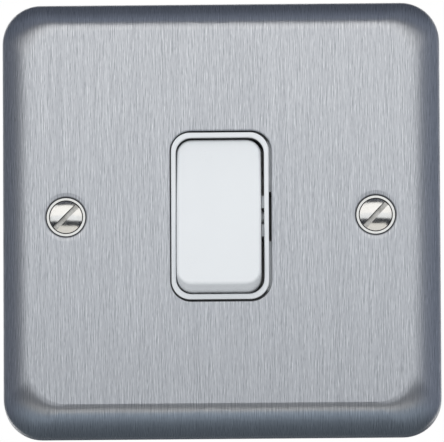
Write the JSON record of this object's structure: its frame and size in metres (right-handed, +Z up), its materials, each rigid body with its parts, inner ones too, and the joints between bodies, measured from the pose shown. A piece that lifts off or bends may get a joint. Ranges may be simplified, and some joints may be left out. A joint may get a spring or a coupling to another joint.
{
  "type": "rocker light switch",
  "caption": "Square wall light switch: brushed steel plate, plain white rocker in a slim white surround, change-over contacts and rear screw terminals.",
  "frame": {"origin": "centre of the plate on the wall plane, midway between the two fixing screws", "axes": "-Y out of the wall towards the person using it, +Y into the wall, +Z up, +X to the right seen from the front"},
  "size_m": [0.0852, 0.0284, 0.0852],
  "materials": {
    "brushed_plate": "brushed upright, satin",
    "screw_plating": "polished plating",
    "white_moulding": "soft gloss",
    "base_moulding": "matt",
    "black_moulding": "matt",
    "brass": "as cut",
    "silver_contact": "bright",
    "zinc_steel": "zinc plated",
    "natural_nylon": "waxy",
    "soft_collar": "soft"
  },
  "bodies": {
    "switch_body": {"plate": "brushed_plate", "fixing_screw_left": "screw_plating", "fixing_screw_right": "screw_plating", "screw_retainers": "soft_collar", "plate_liner": "black_moulding", "push_nuts": "zinc_steel", "earth_strap": "brass", "earth_terminal": "brass", "earth_screw": "zinc_steel", "rocker_frame": "white_moulding", "module_base": "base_moulding", "base_screws": "zinc_steel", "common_strap": "brass", "line_one_strap": "brass", "line_two_strap": "brass", "fixed_tips": "silver_contact", "common_terminal": "brass", "line_one_terminal": "brass", "line_two_terminal": "brass", "terminal_screws": "zinc_steel"},
    "rocker": {"rocker": "white_moulding", "plunger_spring": "zinc_steel"},
    "plunger": {"plunger": "natural_nylon"},
    "contact_lever": {"contact_lever": "brass", "moving_tips": "silver_contact"}
  },
  "joints": [
    {"name": "rocker_tilt", "type": "hinge", "parent": "switch_body", "child": "rocker", "pos_m": [-0.00038, -0.006, 0], "axis": [1, 0, 0], "range_deg": [0, 16]},
    {"name": "plunger_slide", "type": "slide", "parent": "rocker", "child": "plunger", "axis": [0, -0.9903, 0.1392], "range_m": [0, 0.001], "stiffness_N_per_m": 800, "springref_m": -0.0025, "deforming": ["plunger_spring"]},
    {"name": "lever_tilt", "type": "hinge", "parent": "switch_body", "child": "contact_lever", "pos_m": [-0.00015, 0.0049, 0], "axis": [1, 0, 0], "range_deg": [-16, 0]}
  ],
  "couplings": [
    {"joint": "lever_tilt", "follows": "rocker_tilt", "ratio": -1}
  ]
}
